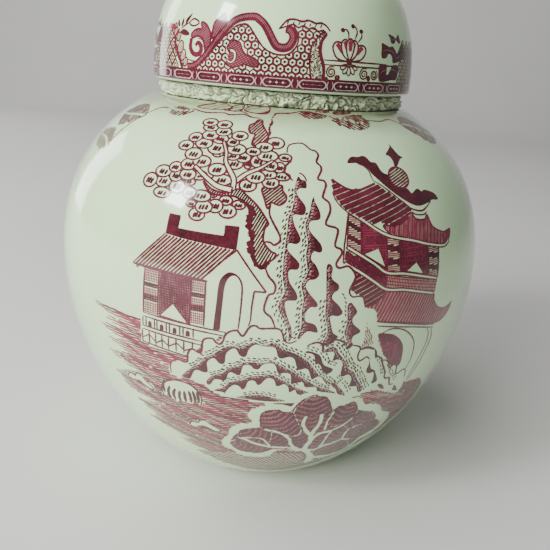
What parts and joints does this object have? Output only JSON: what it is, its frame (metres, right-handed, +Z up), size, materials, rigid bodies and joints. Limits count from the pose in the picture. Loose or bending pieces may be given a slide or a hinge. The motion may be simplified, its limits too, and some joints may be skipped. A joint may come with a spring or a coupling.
{
  "type": "ginger jar",
  "caption": "Round glazed pot on a foot ring, with a short neck, a relief collar and a domed cap lid that lifts off, all over printed with an oriental landscape",
  "frame": {"origin": "the middle of the foot ring, on the plane the jar stands on", "axes": "+Z up along the axis of turning, -Y towards the front of the printed scene, +X to its right"},
  "size_m": [0.15, 0.15, 0.1756],
  "materials": {
    "body_glaze": "glossy pale celadon glaze over white earthenware, crimson underglaze transfer print",
    "collar_glaze": "rough relief under a thin greenish glaze that pools in the hollows",
    "lid_glaze": "glossy pale celadon glaze over white earthenware, crimson underglaze transfer print"
  },
  "bodies": {
    "jar": {"jar_body": "body_glaze", "neck_band": "collar_glaze"},
    "lid": {"lid": "lid_glaze"}
  },
  "joints": [
    {"name": "lid_lift", "type": "slide", "parent": "jar", "child": "lid", "axis": [0, 0, 1], "range_m": [0, 0.06]}
  ]
}
